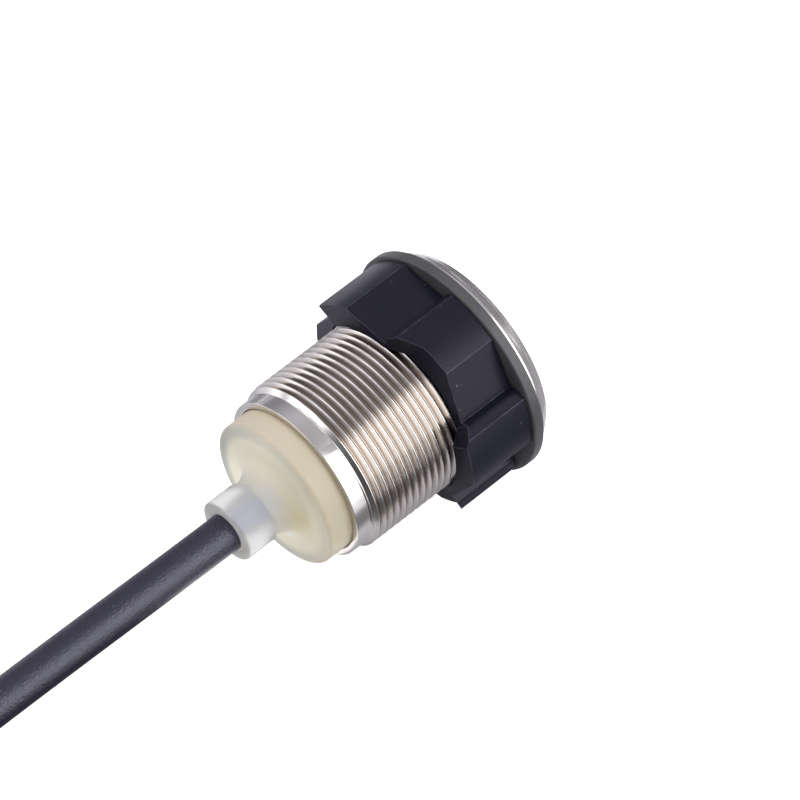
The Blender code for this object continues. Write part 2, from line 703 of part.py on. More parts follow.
# Cable from the plug to the hank: straight out, then over the hank's near end
def make_cable():
    inside = REAR_RIM_X + PLUG_LENGTH - SEAT_GAP
    mouth = REAR_RIM_X + SLEEVE_REAR
    hank_face = HANK_NEAR_X + HANK_OUTER_RADIUS
    end = hank_face + SEAT_GAP
    middle = (mouth + end) / 2
    knots = [
        (inside, 0.0, AXIS_HEIGHT),
        (mouth, 0.0, AXIS_HEIGHT),
        (middle, CABLE_DRIFT / 2, AXIS_HEIGHT + CABLE_RISE / 2),
        (end, CABLE_DRIFT, AXIS_HEIGHT + CABLE_RISE),
    ]
    cable = drawn("cable", smooth_path(knots, 14), CABLE_DIAMETER, 3, on_axis=False)
    finish(cable, (0.035, 0.034, 0.045), 0.55)


# Hank: the rest of the cable, with its two ties
def stadium(radius, count=12):
    """An outline with two straight runs along X and round ends."""
    near = arc((HANK_NEAR_X, HANK_Y), radius, -90, 90, count)
    far = arc((HANK_FAR_X, HANK_Y), radius, 90, 270, count)
    return near + far


def make_hank():
    outlines = [stadium(HANK_OUTER_RADIUS), stadium(HANK_INNER_RADIUS)]
    hank = extruded("cable_hank", outlines, HANK_HEIGHT, on_axis=False)
    hank.location.z = HANK_FLOOR + HANK_HEIGHT / 2
    finish(hank, (0.035, 0.034, 0.045), 0.55)

    tie_height = HANK_HEIGHT + 2 * HANK_FLOOR
    opening_depth = HANK_OUTER_RADIUS - HANK_INNER_RADIUS + 2 * SEAT_GAP
    tie_depth = opening_depth + 2 * TIE_THICKNESS
    for number, side in enumerate((-1, 1)):
        place = (TIE_X, HANK_Y + side * HANK_FOLD, tie_height / 2)
        tie = box(f"tie_{number + 1}", (TIE_WIDTH, tie_depth, tie_height), place, on_axis=False)
        opening_height = HANK_HEIGHT + 2 * SEAT_GAP
        opening_size = (2 * TIE_WIDTH, opening_depth, opening_height)
        opening = box(f"tie_cutter_{number}", opening_size, place, False, cutters)
        boolean(tie, opening, "DIFFERENCE")
        finish(tie, (0.02, 0.02, 0.02), 0.5)


# Bare ends: four cores that lie on the floor inside the hank
def make_leads():
    row_y = HANK_Y + HANK_INNER_RADIUS - SEAT_GAP - CORE_DIAMETER / 2
    floor = CORE_DIAMETER / 2
    start = TIE_X + LEAD_START
    for number in range(CORES):
        inward = number * (CORE_DIAMETER + SEAT_GAP)
        fanned = inward + (number + 1) * LEAD_SPREAD / 2
        knots = [
            (start, row_y - inward, floor),
            (start + LEAD_LENGTH / 3, row_y - inward, floor),
            (start + 2 * LEAD_LENGTH / 3, row_y - (inward + fanned) / 2, floor),
            (start + LEAD_LENGTH, row_y - fanned, floor),
        ]
        lead = drawn(f"lead_{number + 1}", smooth_path(knots, 8), CORE_DIAMETER, 2, on_axis=False)
        finish(lead, CORE_COLOURS[number], 0.45)


make_housing()
make_gasket()
make_nut()
make_rear_plug()
make_front()
make_sensor_board()
make_carrier()
make_control_board()
make_header()
make_resin_and_cores()
make_cable()
make_hank()
make_leads()
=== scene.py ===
"""Looks of the 22 mm capacitive touch sensor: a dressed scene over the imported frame, in metres."""
import math

import bmesh
import bpy
from mathutils import Matrix, Vector


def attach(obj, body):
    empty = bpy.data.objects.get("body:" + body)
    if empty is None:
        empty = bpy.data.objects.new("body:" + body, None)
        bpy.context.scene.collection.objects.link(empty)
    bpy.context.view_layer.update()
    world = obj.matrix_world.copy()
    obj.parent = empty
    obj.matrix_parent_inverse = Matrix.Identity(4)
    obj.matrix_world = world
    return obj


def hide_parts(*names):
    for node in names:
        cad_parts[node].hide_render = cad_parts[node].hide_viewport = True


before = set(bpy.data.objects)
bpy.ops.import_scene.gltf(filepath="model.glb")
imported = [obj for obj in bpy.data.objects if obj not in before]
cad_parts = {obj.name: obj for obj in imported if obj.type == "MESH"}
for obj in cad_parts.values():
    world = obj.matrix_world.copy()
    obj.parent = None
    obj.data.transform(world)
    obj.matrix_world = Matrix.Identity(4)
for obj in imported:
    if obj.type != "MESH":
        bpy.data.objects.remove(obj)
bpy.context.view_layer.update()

# Where the sensor's axis lies, and its sizes in mm, counted along the axis from the metal rear rim
MM = 0.001
RIM_X = -8.57
AXIS_Z = 14.69
THREAD_R = 11.0
PITCH = 1.0
BODY_END = 24.53
BORE_R = 9.53
RELIEF_R = 10.35
RELIEF_END = 1.94
UNDERCUT_R = 10.40
FLANGE_R = 14.22
FLANGE_FRONT = 27.0
RECESS_R = 11.2
RECESS_FLOOR = 25.45
GASKET_R = 14.69
GASKET_BORE_R = 11.2
GASKET_REAR = 23.48
GASKET_FRONT = 24.43
GASKET_LIP = 24.80
NUT_REAR = 14.18
NUT_FRONT = 23.38
NUT_TURN = 117.9
NUT_BORE_R = 11.30
LINER_R = 11.6
LINER_START = NUT_REAR + 2.5
LINER_END = NUT_FRONT - 0.25
LINER_CLEARANCE = 0.09
PLUG_R = 9.43
PLUG_EDGE = 0.5
PLUG_REAR = -3.25
NECK_R = 3.6
NECK_FLARE = 3.0
SLEEVE_R = 3.91
SLEEVE_FRONT = -6.45
SLEEVE_REAR = -10.45
LENS_FRONT = FLANGE_FRONT + 0.2
CABLE_D = 4.7
CORE_D = 1.1
THREAD_STEPS = 192
NUT_STEPS = 160

# Where a thread's rows lie within one pitch: crest, flank, root and flank
THREAD_PHASES = [0.0, 0.05, 0.10, 0.20, 0.31, 0.42, 0.51, 0.555, 0.60, 0.72, 0.84, 0.95]
CREST_END = 0.10
ROOT_START = 0.51
ROOT_END = 0.60
THREAD_DEPTH = 0.58


# The photograph's camera, fitted to the rims of the plug, thread, gasket and bezel
def make_camera():
    data = bpy.data.cameras.new("camera")
    camera = bpy.data.objects.new("camera", data)
    bpy.context.scene.collection.objects.link(camera)
    place = Vector((-242.233, -265.836, 517.053)) * MM
    right = Vector((0.72856, -0.68498, -0.00013))
    up = Vector((0.55431, 0.58947, 0.58759))
    back = Vector((-0.40241, -0.42817, 0.80916))
    turn = Matrix((right, up, back)).transposed().to_4x4()
    camera.matrix_world = Matrix.Translation(place) @ turn
    data.sensor_width = 36.0
    data.sensor_fit = "HORIZONTAL"
    data.lens = 245.491
    data.clip_start = 0.01
    data.clip_end = 10.0
    bpy.context.scene.camera = camera
    bpy.context.scene.view_settings.view_transform = "Standard"


make_camera()


# Small helpers for pieces
def on_axis(radius, turn, along):
    """A point in metres: turn in radians round the axis from below, radius and along in mm."""
    x = radius * math.cos(turn)
    y = radius * math.sin(turn)
    return Vector(((RIM_X + along) * MM, y * MM, (AXIS_Z - x) * MM))


def piece_from(name, bm, body="sensor", smooth=True, sharp=40):
    """An object of the mesh in bm, with edges above the angle sharp, riding its body if it has one."""
    bmesh.ops.remove_doubles(bm, verts=bm.verts, dist=1e-7)
    bmesh.ops.dissolve_degenerate(bm, edges=bm.edges, dist=1e-8)
    bmesh.ops.recalc_face_normals(bm, faces=bm.faces)
    mesh = bpy.data.meshes.new(name)
    bm.to_mesh(mesh)
    bm.free()
    piece = bpy.data.objects.new(name, mesh)
    bpy.context.scene.collection.objects.link(piece)
    if smooth:
        mesh.shade_smooth()
        mesh.set_sharp_from_angle(angle=math.radians(sharp))
    if body:
        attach(piece, body)
    return piece


def softened(profile, radius, closed=True, count=4):
    """The profile with its corners rounded: each point may carry its own radius."""
    points = [(p[0], p[1], p[2] if len(p) > 2 else radius) for p in profile]
    total = len(points)
    out = []
    for k, (r, z, size) in enumerate(points):
        if not closed and k in (0, total - 1):
            out.append((r, z))
            continue
        here = Vector((r, z))
        before = Vector(points[k - 1][:2]) - here
        after = Vector(points[(k + 1) % total][:2]) - here
        if size <= 0 or before.length < 1e-6 or after.length < 1e-6:
            out.append((r, z))
            continue
        angle = before.angle(after)
        if angle > math.radians(176):
            out.append((r, z))
            continue
        reach = min(size / math.tan(angle / 2), 0.45 * before.length, 0.45 * after.length)
        start = here + before.normalized() * reach
        end = here + after.normalized() * reach
        for step in range(count + 1):
            t = step / count
            place = start * (1 - t) ** 2 + here * 2 * t * (1 - t) + end * t**2
            out.append((place.x, place.y))
    return out


def lathe_faces(bm, profile, steps, closed=True):
    """Faces of a profile of (radius, along) points turned round the sensor's axis."""
    rings = []
    for r, z in profile:
        if r < 1e-6:
            rings.append([bm.verts.new(on_axis(0.0, 0.0, z))] * steps)
        else:
            rings.append([bm.verts.new(on_axis(r, math.tau * k / steps, z)) for k in range(steps)])
    pairs = list(zip(rings, rings[1:]))
    if closed:
        pairs.append((rings[-1], rings[0]))
    for first, second in pairs:
        for k in range(steps):
            corners = [first[k], first[(k + 1) % steps], second[(k + 1) % steps], second[k]]
            unique = list(dict.fromkeys(corners))
            if len(unique) > 2:
                bm.faces.new(unique)


def lathe(name, profile, steps=160, closed=True, sharp=40):
    bm = bmesh.new()
    lathe_faces(bm, profile, steps, closed)
    return piece_from(name, bm, sharp=sharp)


def thread_faces(bm, start, end, steps, radius_at):
    """A band of thread rows that follow the helix, closed off in flat rings at both ends."""
    rows_per_turn = len(THREAD_PHASES)
    turns = int(math.ceil((end - start) / PITCH)) + 2
    rows = turns * rows_per_turn
    grid = []
    for row in range(rows + 1):
        phase = THREAD_PHASES[row % rows_per_turn]
        line = []
        for k in range(steps):
            along = start + (row // rows_per_turn + phase - 1 + k / steps) * PITCH
            held = min(max(along, start), end)
            spot = on_axis(radius_at(phase, held), math.tau * k / steps, held)
            line.append(bm.verts.new(spot))
        grid.append(line)
    for row in range(rows):
        for k in range(steps - 1):
            bm.faces.new([grid[row][k], grid[row][k + 1], grid[row + 1][k + 1], grid[row + 1][k]])
        low = min(row + rows_per_turn, rows)
        high = min(row + 1 + rows_per_turn, rows)
        corners = [grid[row][-1], grid[low][0], grid[high][0], grid[row + 1][-1]]
        bm.faces.new(list(dict.fromkeys(corners)))


def smoothstep(t):
    """Eases from 0 to 1 while t runs from 0 to 1."""
    t = min(max(t, 0.0), 1.0)
    return t * t * (3 - 2 * t)


# Materials: every one has its own procedural colour, roughness and bump
class Nodes:
    """One material's node tree, with a short call for each kind of node used here."""

    def __init__(self, name):
        self.material = bpy.data.materials.new(name)
        self.material.use_nodes = True
        self.tree = self.material.node_tree
        self.shader = self.tree.nodes["Principled BSDF"]
        self.place = self.tree.nodes.new("ShaderNodeTexCoord").outputs["Object"]

    def set(self, **values):
        for key, value in values.items():
            self.shader.inputs[key.replace("_", " ")].default_value = value

    def link(self, output, target):
        self.tree.links.new(output, self.shader.inputs[target])

    def mapped(self, scale, place=None):
        node = self.tree.nodes.new("ShaderNodeMapping")
        node.inputs["Scale"].default_value = scale
        self.tree.links.new(place or self.place, node.inputs["Vector"])
        return node.outputs["Vector"]

    def noise(self, scale, detail=3.0, place=None, rough=0.5):
        node = self.tree.nodes.new("ShaderNodeTexNoise")
        node.inputs["Scale"].default_value = scale
        node.inputs["Detail"].default_value = detail
        node.inputs["Roughness"].default_value = rough
        self.tree.links.new(place or self.place, node.inputs["Vector"])
        return node.outputs["Fac"]

    def cells(self, scale):
        node = self.tree.nodes.new("ShaderNodeTexVoronoi")
        node.inputs["Scale"].default_value = scale
        self.tree.links.new(self.place, node.inputs["Vector"])
        return node.outputs["Distance"]

    def ramp(self, value, stops):
        node = self.tree.nodes.new("ShaderNodeValToRGB")
        ramp = node.color_ramp
        while len(ramp.elements) < len(stops):
            ramp.elements.new(0.5)
        for element, (position, colour) in zip(ramp.elements, stops):
            element.position = position
            element.color = (*colour, 1.0)
        self.tree.links.new(value, node.inputs["Fac"])
        return node.outputs["Color"]

    def span(self, value, low, high, from_low=0.0, from_high=1.0):
        node = self.tree.nodes.new("ShaderNodeMapRange")
        node.inputs["From Min"].default_value = from_low
        node.inputs["From Max"].default_value = from_high
        node.inputs["To Min"].default_value = low
        node.inputs["To Max"].default_value = high
        self.tree.links.new(value, node.inputs["Value"])
        return node.outputs["Result"]

    def maths(self, operation, first, second):
        node = self.tree.nodes.new("ShaderNodeMath")
        node.operation = operation
        for socket, value in zip(node.inputs, (first, second)):
            if isinstance(value, (int, float)):
                socket.default_value = value
            else:
                self.tree.links.new(value, socket)
        return node.outputs[0]

    def mixed(self, factor, first, second):
        node = self.tree.nodes.new("ShaderNodeMix")
        node.data_type = "RGBA"
        sockets = (node.inputs[0], node.inputs[6], node.inputs[7])
        for socket, value in zip(sockets, (factor, first, second)):
            if isinstance(value, tuple):
                socket.default_value = (*value, 1.0)
            elif isinstance(value, (int, float)):
                socket.default_value = value
            else:
                self.tree.links.new(value, socket)
        return node.outputs[2]

    def bump(self, height, distance, strength=1.0):
        node = self.tree.nodes.new("ShaderNodeBump")
        node.inputs["Strength"].default_value = strength
        node.inputs["Distance"].default_value = distance
        self.tree.links.new(height, node.inputs["Height"])
        self.tree.links.new(node.outputs["Normal"], self.shader.inputs["Normal"])

    def split(self):
        node = self.tree.nodes.new("ShaderNodeSeparateXYZ")
        self.tree.links.new(self.place, node.inputs[0])
        return node.outputs

    def attribute(self, name):
        node = self.tree.nodes.new("ShaderNodeAttribute")
        node.attribute_name = name
        return node.outputs["Fac"]

    def away_from(self, centre):
        """Distance from a point given in mm, in metres."""
        node = self.tree.nodes.new("ShaderNodeVectorMath")
        node.operation = "DISTANCE"
        self.tree.links.new(self.place, node.inputs[0])
        node.inputs[1].default_value = Vector(centre) * MM
        return node.outputs["Value"]

    def axis_radius(self):
        """Distance from the sensor's axis, in metres."""
        x, y, z = self.split()
        height = self.maths("SUBTRACT", z, AXIS_Z * MM)
        y_square = self.maths("MULTIPLY", y, y)
        height_square = self.maths("MULTIPLY", height, height)
        return self.maths("SQRT", self.maths("ADD", y_square, height_square), 0.0)


def wear(piece, material):
    """Gives a piece its one material."""
    piece.data.materials.clear()
    piece.data.materials.append(material)


def steel_material():
    """Turned stainless: fine rings round the axis, faint streaks, and painted shade that darkens the
    thread's grooves.
    """
    m = Nodes("stainless_steel")
    m.set(Metallic=1.0)
    rings = m.noise(1.0, 3.0, m.mapped((7000.0, 25.0, 25.0)), 0.5)
    radius = m.axis_radius()
    face = m.tree.nodes.new("ShaderNodeCombineXYZ")
    m.tree.links.new(radius, face.inputs[0])
    face_rings = m.noise(1.0, 2.0, m.mapped((6000.0, 1.0, 1.0), face.outputs[0]), 0.5)
    cloud = m.noise(260.0, 3.0)
    tone = m.mixed(cloud, (0.655, 0.625, 0.595), (0.73, 0.70, 0.67))
    tone = m.mixed(m.span(rings, 0.0, 0.35), tone, (0.52, 0.49, 0.455))
    x = m.split()[0]
    # Painted shade: the thread's grooves darkened to a warm brown, from the relief to the flange
    threaded = m.span(x, 0.0, 1.0, (RIM_X + RELIEF_END + 0.5) * MM, (RIM_X + RELIEF_END + 0.8) * MM)
    behind = m.span(x, 1.0, 0.0, (RIM_X + BODY_END - 0.5) * MM, (RIM_X + BODY_END) * MM)
    painted_shade_depth = m.span(radius, 1.0, 0.0, (THREAD_R - 0.55) * MM, (THREAD_R - 0.04) * MM)
    groove = m.maths("MULTIPLY", painted_shade_depth, threaded)
    groove = m.maths("MULTIPLY", groove, behind)
    m.link(m.mixed(groove, tone, (0.36, 0.31, 0.265)), "Base Color")
    both = m.maths("ADD", rings, face_rings)
    m.link(m.span(both, 0.15, 0.27, 0.6, 1.4), "Roughness")
    m.bump(both, 0.000004, 0.6)
    return m.material


def nut_material():
    """Black moulded nylon: satin eroded grain, a painted highlight along the rounded edges, a few
    specks of dust.
    """
    m = Nodes("nut_plastic")
    grain = m.noise(5200.0, 3.0, rough=0.6)
    cloud = m.noise(340.0, 4.0)
    tone = m.mixed(cloud, (0.0026, 0.0028, 0.0065), (0.0045, 0.0046, 0.0095))
    tone = m.mixed(m.span(grain, 0.0, 0.3, 0.4, 0.8), tone, (0.010, 0.010, 0.017))
    # Painted highlight: pale lines along the bevelled edges, broken into patches
    patches = m.span(m.noise(900.0, 3.0), 0.25, 1.0, 0.35, 0.65)
    painted_edge_highlight = m.maths("MULTIPLY", m.attribute("edge"), patches)
    tone = m.mixed(painted_edge_highlight, tone, (0.075, 0.075, 0.095))
    dust = m.span(m.noise(1700.0, 2.0), 0.0, 0.6, 0.735, 0.80)
    m.link(m.mixed(dust, tone, (0.14, 0.14, 0.16)), "Base Color")
    m.link(m.span(grain, 0.28, 0.42, 0.3, 0.7), "Roughness")
    m.set(Specular_IOR_Level=0.30, Specular_Tint=(0.88, 0.86, 1.0, 1.0))
    m.bump(grain, 0.000012, 0.5)
    return m.material


def gasket_material():
    """Matte grey rubber with a fine grain."""
    m = Nodes("gasket_rubber")
    grain = m.noise(4200.0, 3.0)
    cloud = m.noise(420.0, 3.0)
    m.link(m.mixed(cloud, (0.036, 0.036, 0.037), (0.060, 0.060, 0.060)), "Base Color")
    m.link(m.span(grain, 0.36, 0.50), "Roughness")
    m.bump(grain, 0.000015, 0.6)
    return m.material


def plug_material():
    """Milky silicone: cream head with a tan side, warm beside the metal, and painted shade: a grey ring
    near the rear face's rim, the head darker towards -Y, an amber patch on the neck's flare, and a
    darker, bluer band on the greyish clear sleeve.
    """
    m = Nodes("plug_silicone")
    x, y, z = m.split()
    head = m.span(x, 0.0, 1.0, (RIM_X + SLEEVE_FRONT - 0.3) * MM, (RIM_X + PLUG_REAR - 0.6) * MM)
    cloud = m.noise(600.0, 3.0)
    radius = m.axis_radius()
    cream = m.mixed(cloud, (0.645, 0.61, 0.465), (0.685, 0.655, 0.515))
    cream = m.mixed(m.span(radius, 0.0, 1.0, 0.0088, 0.0093), cream, (0.53, 0.475, 0.37))
    warm = m.span(x, 0.0, 0.75, (RIM_X - 1.1) * MM, (RIM_X + 0.1) * MM)
    cream = m.mixed(warm, cream, (0.56, 0.46, 0.32))
    # Painted shade: a grey ring near the rim of the rear face, for light through the thin edge, weaker
    # where lean is high
    ring = m.span(radius, 0.0, 0.9, 0.0074, 0.0084)
    face = m.span(x, 1.0, 0.0, (RIM_X + PLUG_REAR + 0.2) * MM, (RIM_X + PLUG_REAR + 0.6) * MM)
    lean = m.maths("ADD", m.maths("MULTIPLY", y, -0.47), m.maths("MULTIPLY", z, 0.88))
    ring = m.maths("MULTIPLY", ring, m.span(lean, 1.0, 0.35, 0.010, 0.020))
    cream = m.mixed(m.maths("MULTIPLY", ring, face), cream, (0.33, 0.34, 0.32))
    # Painted shade: the head darker and more olive towards -Y
    cream = m.mixed(m.span(y, 0.55, 0.0, -0.010, 0.001), cream, (0.42, 0.38, 0.25))
    # Painted shade: an amber patch on the -Y side of the neck's flare, for the resin seen through it
    from_painted_patch = m.away_from((RIM_X + PLUG_REAR - 0.6, -4.0, AXIS_Z + 0.4))
    cream = m.mixed(m.span(from_painted_patch, 0.55, 0.0, 0.0004, 0.0036), cream, (0.56, 0.44, 0.22))
    # Painted shade: a darker, bluer band along the sleeve where lean is highest, for the dark cable
    # seen through it
    painted_sleeve_shade = m.span(lean, 0.0, 1.0, 0.01625, 0.01680)
    clear = m.mixed(painted_sleeve_shade, (0.83, 0.825, 0.81), (0.70, 0.735, 0.81))
    m.link(m.mixed(head, clear, cream), "Base Color")
    m.link(m.span(cloud, 0.30, 0.42), "Roughness")
    m.link(m.span(head, 0.77, 0.18), "Transmission Weight")
    m.link(m.span(head, 0.35, 0.75), "Subsurface Weight")
    m.set(IOR=1.41, Specular_IOR_Level=0.4)
    m.set(Subsurface_Radius=(1.0, 0.8, 0.5), Subsurface_Scale=0.0013)
    m.bump(m.noise(2600.0, 2.0), 0.000010, 0.4)
    return m.material


def cable_material():
    """Charcoal sheath with an extruder's fine pebble grain and pale specks of dust."""
    m = Nodes("cable_sheath")
    pebbles = m.cells(4400.0)
    fine = m.noise(5200.0, 4.0, rough=0.65)
    cloud = m.noise(240.0, 3.0)
    tone = m.mixed(cloud, (0.0028, 0.0028, 0.0080), (0.0055, 0.0052, 0.0125))
    tone = m.mixed(m.span(fine, 0.0, 1.0, 0.60, 0.75), tone, (0.034, 0.033, 0.048))
    dust = m.span(m.noise(2100.0, 2.0), 0.0, 0.7, 0.70, 0.78)
    m.link(m.mixed(dust, tone, (0.16, 0.16, 0.18)), "Base Color")
    m.link(m.span(fine, 0.24, 0.34), "Roughness")
    m.set(Specular_IOR_Level=1.0, Specular_Tint=(0.84, 0.82, 1.0, 1.0))
    m.bump(m.maths("ADD", m.maths("MULTIPLY", pebbles, 0.9), fine), 0.000052, 1.0)
    return m.material


def plain_material(name, dark, light, rough, metallic=0.0, grain=3000.0):
    """A tone that drifts between dark and light, with a fine grain in roughness and bump."""
    m = Nodes(name)
    m.set(Metallic=metallic)
    fine = m.noise(grain, 3.0)
    cloud = m.noise(grain / 9, 3.0)
    m.link(m.mixed(cloud, dark, light), "Base Color")
    m.link(m.span(fine, rough[0], rough[1]), "Roughness")
    m.bump(fine, 0.00001, 0.5)
    return m.material


STEEL = steel_material()
NUT = nut_material()
GASKET = gasket_material()
PLUG = plug_material()
SHEATH = cable_material()
TIE = plain_material("tie_nylon", (0.010, 0.010, 0.011), (0.020, 0.020, 0.022), (0.35, 0.5))
TINNED_TONES = (0.62, 0.62, 0.60), (0.80, 0.79, 0.76)
TINNED = plain_material("tinned_copper", *TINNED_TONES, (0.2, 0.4), metallic=1.0, grain=6000.0)
CORE_TONES = [
    ("core_brown", (0.13, 0.055, 0.022), (0.18, 0.08, 0.035)),
    ("core_blue", (0.015, 0.055, 0.25), (0.025, 0.08, 0.34)),
    ("core_black", (0.012, 0.012, 0.013), (0.022, 0.022, 0.024)),
    ("core_white", (0.68, 0.68, 0.65), (0.80, 0.80, 0.77)),
]
CORES = [plain_material(name, dark, light, (0.3, 0.42)) for name, dark, light in CORE_TONES]


# Cable: the route in mm, straight out of the sleeve, then into a flat hank of three turns
HANK_NEAR = -74.0
HANK_RUN = 37.7
HANK_FAR = HANK_NEAR - HANK_RUN
HANK_Y = 3.2
TIE_X = HANK_FAR + 10.5
LEAD_X = TIE_X + 11.2
LEAD_REACH = 17.0
FOLD = 3.1 * CABLE_D
LAYER = 4.75
FLOOR_Z = 1.0 + CABLE_D / 2
MERGE_X = -80.0
SWING_X = -54.0
ROUND = 2 * HANK_RUN + math.tau * FOLD
END_AT = 2.59
DRIFT_X = -18.0
DRIFT_RUN = 34.0
DRIFT_Y = 0.05
DRIFT_Z = 0.35
CABLE_IN_PLUG = 3.5
STRAIGHT_STEP = 1.5
SWING_STEPS = 26
HANK_STEP = 1.2
DROP_START = 0.62


def hank_point(t):
    """Place on the hank after t turns, counted from the near end of its -Y run."""
    along = (t % 1.0) * ROUND
    half = math.pi * FOLD
    if along < HANK_RUN:
        x, y = HANK_NEAR - along, HANK_Y - FOLD
    elif along < HANK_RUN + half:
        turn = -math.pi / 2 - (along - HANK_RUN) / FOLD
        x, y = HANK_FAR + FOLD * math.cos(turn), HANK_Y + FOLD * math.sin(turn)
    elif along < 2 * HANK_RUN + half:
        x, y = HANK_FAR + (along - HANK_RUN - half), HANK_Y + FOLD
    else:
        turn = math.pi / 2 - (along - 2 * HANK_RUN - half) / FOLD
        x, y = HANK_NEAR + FOLD * math.cos(turn), HANK_Y + FOLD * math.sin(turn)
    drop = math.floor(t) + smoothstep(((t % 1.0) - DROP_START) / (1.0 - DROP_START))
    return Vector((x, y, FLOOR_Z + LAYER * (2 - drop)))


def cable_route():
    """The cable's middle line: straight, then a swing across to the hank, then its turns downwards."""
    points = []
    x = RIM_X + CABLE_IN_PLUG
    while x > SWING_X:
        drift = smoothstep((DRIFT_X - x) / DRIFT_RUN)
        points.append(Vector((x, DRIFT_Y * drift, AXIS_Z + DRIFT_Z * drift)))
        x -= STRAIGHT_STEP
    top = FLOOR_Z + 2 * LAYER
    for k in range(SWING_STEPS):
        t = k / SWING_STEPS
        swing = smoothstep(t)
        x = SWING_X + (MERGE_X - SWING_X) * t
        y = DRIFT_Y + (HANK_Y - FOLD - DRIFT_Y) * swing
        z = AXIS_Z + DRIFT_Z + (top - AXIS_Z - DRIFT_Z) * smoothstep((t - 0.35) / 0.65)
        points.append(Vector((x, y, z)))
    first = (HANK_NEAR - MERGE_X) / ROUND
    count = int((END_AT - first) * ROUND / HANK_STEP)
    points += [hank_point(first + (END_AT - first) * k / count) for k in range(count + 1)]
    return points


def tube(name, points, diameter, sides, edge=0.3):
    """A round tube along points in mm, its rings carried along without twisting, with eased ends."""
    places = [Vector(p) for p in points]
    total = len(places)
    bm = bmesh.new()
    ahead = (places[1] - places[0]).normalized()
    side = ahead.cross(Vector((0, 0, 1))).normalized()
    rings = []

    def add_ring(centre, radius, forward):
        lift = side.cross(forward).normalized()
        turns = [math.tau * j / sides for j in range(sides)]
        spots = [centre + (side * math.cos(a) + lift * math.sin(a)) * radius for a in turns]
        rings.append([bm.verts.new(spot * MM) for spot in spots])

    for k, place in enumerate(places):
        forward = (places[min(k + 1, total - 1)] - places[max(k - 1, 0)]).normalized()
        side = (side - forward * side.dot(forward)).normalized()
        if k == 0:
            eased = [(0.0, 1.0), (0.3, 0.3), (1.0, 0.0)]
        elif k == total - 1:
            eased = [(-1.0, 0.0), (-0.3, 0.3), (0.0, 1.0)]
        else:
            eased = [(0.0, 0.0)]
        for shift, inset in eased:
            add_ring(place + forward * edge * shift, diameter / 2 - edge * inset, forward)
    for first, second in zip(rings, rings[1:]):
        for j in range(sides):
            bm.faces.new([first[j], first[(j + 1) % sides], second[(j + 1) % sides], second[j]])
    bm.faces.new(rings[0])
    bm.faces.new(rings[-1])
    return piece_from(name, bm, sharp=60)


ROUTE = cable_route()
cable = tube("sheathed_cable", ROUTE, CABLE_D, 32)
wear(cable, SHEATH)
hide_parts("cable", "cable_hank")


def strip(name, points, width, thick):
    """A closed flat band: points of its middle line in the y-z plane, in mm, at one x."""
    bm = bmesh.new()
    total = len(points)
    half = width / 2
    section = softened([(-half, 0.0), (half, 0.0), (half, thick), (-half, thick)], thick * 0.3)
    rings = []
    for k, place in enumerate(points):
        ahead = points[(k + 1) % total] - points[k - 1]
        out = Vector((0.0, ahead.z, -ahead.y)).normalized()
        rings.append([bm.verts.new((place + Vector((a, 0, 0)) + out * b) * MM) for a, b in section])
    for k in range(total):
        first, second = rings[k], rings[(k + 1) % total]
        for j in range(len(section)):
            nxt = (j + 1) % len(section)
            bm.faces.new([first[j], first[nxt], second[nxt], second[j]])
    return piece_from(name, bm)


def box_faces(bm, centre, size, edge):
    """A box with rounded edges, in mm."""
    made = bmesh.ops.create_cube(bm, size=1.0)
    verts = made["verts"]
    bmesh.ops.scale(bm, vec=Vector(size) * MM, verts=verts)
    bmesh.ops.translate(bm, vec=Vector(centre) * MM, verts=verts)
    edges = list({e for v in verts for e in v.link_edges})
    bmesh.ops.bevel(bm, geom=edges, offset=edge * MM, segments=3, profile=0.5, affect="EDGES")


# Ties: nylon straps with a toothed tail and a locking head
def make_tie(number, side):
    x = TIE_X
    y = HANK_Y + side * FOLD
    half = CABLE_D / 2 + 0.05
    top = FLOOR_Z + 2 * LAYER
    outline = []
    for middle, start in ((top, 0.0), (FLOOR_Z, math.pi)):
        for k in range(33):
            turn = start + math.pi * k / 32
            outline.append(Vector((x, y + half * math.cos(turn), middle + half * math.sin(turn))))
    strap = strip(f"hank_tie_{number}", outline, 3.6, 0.8)
    bm = bmesh.new()
    bm.from_mesh(strap.data)
    box_faces(bm, (x, y + side * (half + 1.5), top), (4.6, 3.0, 3.4), 0.45)
    box_faces(bm, (x, y + side * (half + 1.5), top + 3.0), (3.2, 0.9, 3.2), 0.2)
    for k in range(7):
        box_faces(bm, (x, y + side * (half + 2.0), top + 1.9 + 0.4 * k), (2.4, 0.25, 0.2), 0.05)
    bm.to_mesh(strap.data)
    bm.free()
    wear(strap, TIE)
    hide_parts(f"tie_{number}")
    return strap


TIES = [make_tie(1, -1), make_tie(2, 1)]


# Bare ends: four cores out of the sheath, with twisted tinned tips
def smooth_line(knots, count):
    """Points of a Catmull-Rom curve through the knots."""
    places = [Vector(k) for k in knots]
    places = [2 * places[0] - places[1], *places, 2 * places[-1] - places[-2]]
    spans = len(places) - 3
    line = []
    for k in range(count):
        along = spans * k / (count - 1)
        span = min(int(along), spans - 1)
        t = along - span
        a, b, c, d = places[span : span + 4]
        bend = (2 * a - 5 * b + 4 * c - d) * t**2 + (3 * b - a - 3 * c + d) * t**3
        line.append(0.5 * (2 * b + (c - a) * t + bend))
    return line


